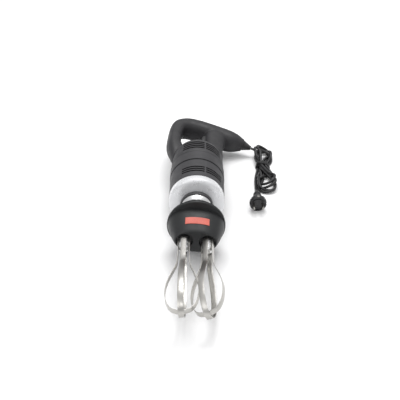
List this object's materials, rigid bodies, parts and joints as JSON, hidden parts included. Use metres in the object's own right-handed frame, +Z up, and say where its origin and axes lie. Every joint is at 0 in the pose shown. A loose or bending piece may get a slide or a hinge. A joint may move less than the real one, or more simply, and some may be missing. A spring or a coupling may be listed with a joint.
{
  "type": "twin-whisk hand mixer",
  "caption": "Commercial hand mixer with a D-shaped trigger grip, vented motor casing and a detachable gearbox driving a counter-rotating pair of strip whisks, with mains cord and plug.",
  "frame": {"origin": "centre of the mixer's footprint on the counter, cord and plug left out", "axes": "+Z up, +Y along the mixer axis from the whisks to the grip, +X to the side where the cord leaves"},
  "size_m": [0.2548, 0.6686, 0.1164],
  "materials": {
    "body_black": "fine matte moulded nylon",
    "trigger_black": "smooth satin moulded plastic",
    "collar_grey": "satin moulded plastic",
    "gearbox_grey": "semi-gloss dark grey",
    "satin_aluminium": "satin turned aluminium",
    "turned_steel": "bright turned steel",
    "whisk_steel": "polished stainless strip",
    "lamination": "stacked electrical steel",
    "gear_steel": "machined steel",
    "copper": "enamelled copper",
    "brass": "plain brass",
    "carbon": "pressed carbon",
    "fan_polymer": "moulded nylon",
    "board_green": "circuit board",
    "label_red": "plain red plate with no lettering",
    "seal_black": "black seal rubber",
    "cord_black": "black flexible mains cord",
    "plug_black": "moulded black plug"
  },
  "bodies": {
    "power_unit": {"brush_holder_left": "brass", "brush_holder_right": "brass", "carbon_brush_left": "carbon", "carbon_brush_right": "carbon", "control_board": "board_green", "cord_hank": "cord_black", "cord_lead": "cord_black", "cord_plug_lead": "cord_black", "cord_strain_relief": "cord_black", "coupling_sleeve": "turned_steel", "field_coil_front": "copper", "field_coil_rear": "copper", "front_housing": "satin_aluminium", "front_motor_bearing": "turned_steel", "handle_screw_1": "turned_steel", "handle_screw_2": "turned_steel", "handle_screw_3": "turned_steel", "handle_shell_lower": "body_black", "handle_shell_upper": "body_black", "lock_button_spring": "turned_steel", "motor_casing": "body_black", "plug_body": "plug_black", "plug_pin_left": "brass", "plug_pin_right": "brass", "rear_bearing_plate": "satin_aluminium", "rear_motor_bearing": "turned_steel", "stator_core": "lamination", "switch_module": "seal_black", "trigger_return_spring": "turned_steel"},
    "locking_collar": {"locking_collar": "collar_grey"},
    "trigger": {"trigger": "trigger_black"},
    "lock_button": {"lock_button": "trigger_black"},
    "rotor": {"motor_shaft": "gear_steel", "rotor_core": "lamination", "commutator": "copper", "cooling_fan": "fan_polymer", "drive_coupling": "gear_steel"},
    "whisk_head": {"gearbox_rear_cone": "gearbox_grey", "gearbox_gasket": "seal_black", "gearbox_nose": "gearbox_grey", "label_plate": "label_red", "gear_carrier_plate": "gear_steel", "input_bearing": "turned_steel", "spindle_bearing_left": "turned_steel", "spindle_bearing_right": "turned_steel", "shaft_seal_left": "seal_black", "shaft_seal_right": "seal_black"},
    "input_shaft": {"input_shaft": "gear_steel", "pinion_gear": "gear_steel"},
    "left_whisk": {"spindle_left": "turned_steel", "reduction_gear": "gear_steel", "sync_gear_left": "gear_steel", "whisk_hub_left": "turned_steel", "whisk_left_outer_loop": "whisk_steel", "whisk_left_inner_loop": "whisk_steel"},
    "right_whisk": {"spindle_right": "turned_steel", "sync_gear_right": "gear_steel", "whisk_hub_right": "turned_steel", "whisk_right_outer_loop": "whisk_steel", "whisk_right_inner_loop": "whisk_steel"}
  },
  "joints": [
    {"name": "trigger_squeeze", "type": "hinge", "parent": "power_unit", "child": "trigger", "pos_m": [-0.01175, 0.27026, 0.05254], "axis": [0.2588, 0, 0.9659], "range_deg": [0, 5], "stiffness_Nm_per_rad": 3, "springref_deg": -5.73, "deforming": ["trigger_return_spring"]},
    {"name": "lock_button_press", "type": "slide", "parent": "power_unit", "child": "lock_button", "axis": [0, -1, 0], "range_m": [0, 0.003], "stiffness_N_per_m": 600, "springref_m": -0.003, "deforming": ["lock_button_spring"]},
    {"name": "collar_twist", "type": "hinge", "parent": "power_unit", "child": "locking_collar", "pos_m": [-0.02914, -0.01674, 0.0572], "axis": [0, 1, 0], "range_deg": [0, 35]},
    {"name": "rotor_spin", "type": "hinge", "parent": "power_unit", "child": "rotor", "pos_m": [-0.02914, 0.05726, 0.0572], "axis": [0, 1, 0], "continuous": true},
    {"name": "head_pull_off", "type": "slide", "parent": "power_unit", "child": "whisk_head", "axis": [0, -1, 0], "range_m": [0, 0.06]},
    {"name": "input_shaft_spin", "type": "hinge", "parent": "whisk_head", "child": "input_shaft", "pos_m": [-0.02914, -0.05674, 0.0572], "axis": [0, 1, 0], "continuous": true},
    {"name": "left_whisk_spin", "type": "hinge", "parent": "whisk_head", "child": "left_whisk", "pos_m": [-0.05146, -0.12674, 0.05915], "axis": [0, 1, 0], "continuous": true},
    {"name": "right_whisk_spin", "type": "hinge", "parent": "whisk_head", "child": "right_whisk", "pos_m": [-0.00683, -0.12674, 0.05525], "axis": [0, 1, 0], "continuous": true}
  ],
  "couplings": [
    {"joint": "input_shaft_spin", "follows": "rotor_spin", "ratio": 1},
    {"joint": "left_whisk_spin", "follows": "rotor_spin", "ratio": -0.45455},
    {"joint": "right_whisk_spin", "follows": "rotor_spin", "ratio": 0.45455}
  ]
}
